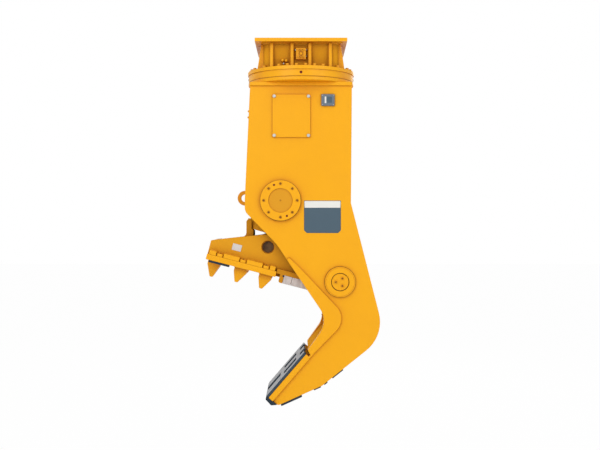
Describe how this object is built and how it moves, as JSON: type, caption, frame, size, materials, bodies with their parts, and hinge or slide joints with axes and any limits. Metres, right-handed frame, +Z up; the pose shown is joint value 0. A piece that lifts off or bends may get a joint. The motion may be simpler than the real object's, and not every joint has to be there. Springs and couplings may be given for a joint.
{
  "type": "concrete pulverizer",
  "caption": "Excavator concrete pulverizer: slewing adapter head, deep housing with fixed lower jaw, and a toothed upper jaw closed by an enclosed hydraulic cylinder.",
  "frame": {"origin": "centre of the adapter plate's top face, on the slewing axis", "axes": "+Z up along the slewing axis out of the adapter plate, the mouth opens towards -X, -Y is the pictured side"},
  "size_m": [1.2622, 0.788, 2.6358],
  "materials": {
    "yellow_paint": "semi-gloss warm yellow machine paint over welded plate",
    "machined_steel": "turned and ground steel",
    "bolt_steel": "zinc-flake coated fasteners",
    "bright_steel": "ground, pale bare steel",
    "wear_steel": "hard grey wear plate with scale",
    "plug_red": "dark red grease plugs",
    "hard_facing": "dark weld-on wear bars",
    "rod_chrome": "polished hard chrome",
    "bush_bronze": "bronze bushes"
  },
  "bodies": {
    "head": {"adapter_plate": "yellow_paint", "head_box": "yellow_paint", "head_ribs": "yellow_paint", "head_flange": "yellow_paint", "slew_ring_outer": "yellow_paint", "slew_bolts": "yellow_paint", "ring_plugs": "plug_red", "port_manifold": "yellow_paint", "union_body": "yellow_paint"},
    "jaw": {"jaw_sides": "yellow_paint", "jaw_hub": "yellow_paint", "jaw_bushes": "bush_bronze", "jaw_top_plate": "yellow_paint", "rod_guard": "yellow_paint", "jaw_webs": "yellow_paint", "rod_lugs": "yellow_paint", "rod_pin": "machined_steel", "sole_plate": "yellow_paint", "jaw_rails": "yellow_paint", "sole_bolts": "yellow_paint", "sole_strips": "hard_facing", "teeth": "yellow_paint", "moving_blades": "bright_steel", "blade_seats": "yellow_paint"},
    "barrel": {"cylinder_tube": "yellow_paint", "trunnion_ring": "yellow_paint", "gland_head": "yellow_paint", "gland_screws": "bolt_steel", "cylinder_base": "yellow_paint"},
    "rod": {"piston_rod": "rod_chrome", "piston": "machined_steel", "rod_eye": "machined_steel"},
    "housing": {"union_stem": "machined_steel", "slew_ring_inner": "machined_steel", "slew_balls": "bright_steel", "neck_ring": "yellow_paint", "top_plate": "yellow_paint", "side_plate_near": "yellow_paint", "side_plate_far": "yellow_paint", "front_plate": "yellow_paint", "rear_shell": "yellow_paint", "doublers": "yellow_paint", "throat_plate": "yellow_paint", "lower_wear_plate": "wear_steel", "lower_base_plate": "yellow_paint", "lower_ribs": "yellow_paint", "nose_bar": "hard_facing", "fixed_blades": "bright_steel", "wear_bars": "hard_facing", "pin_bosses": "yellow_paint", "main_pin": "yellow_paint", "pin_screws": "yellow_paint", "trunnion_bushes": "bush_bronze", "trunnion_caps": "yellow_paint", "cap_screws": "yellow_paint", "access_covers": "yellow_paint", "cover_bolts": "bright_steel", "lifting_eye": "yellow_paint"}
  },
  "joints": [
    {"name": "slew", "type": "hinge", "parent": "head", "child": "housing", "pos_m": [0, 0, -0.256], "axis": [0, 0, 1], "continuous": true},
    {"name": "jaw_pivot", "type": "hinge", "parent": "housing", "child": "jaw", "pos_m": [0.281, 0, -1.744], "axis": [0, -1, 0], "range_deg": [0, 60]},
    {"name": "cylinder_swing", "type": "hinge", "parent": "housing", "child": "barrel", "pos_m": [-0.147, 0, -1.159], "axis": [0, -1, 0], "range_deg": [0, 11]},
    {"name": "rod_stroke", "type": "slide", "parent": "barrel", "child": "rod", "axis": [-0.2658, 0, -0.964], "range_m": [0, 0.58]}
  ],
  "couplings": [
    {"joint": "cylinder_swing", "follows": "jaw_pivot", "ratio": 0.17247},
    {"joint": "rod_stroke", "follows": "jaw_pivot", "m_per_rad": 0.55024}
  ]
}
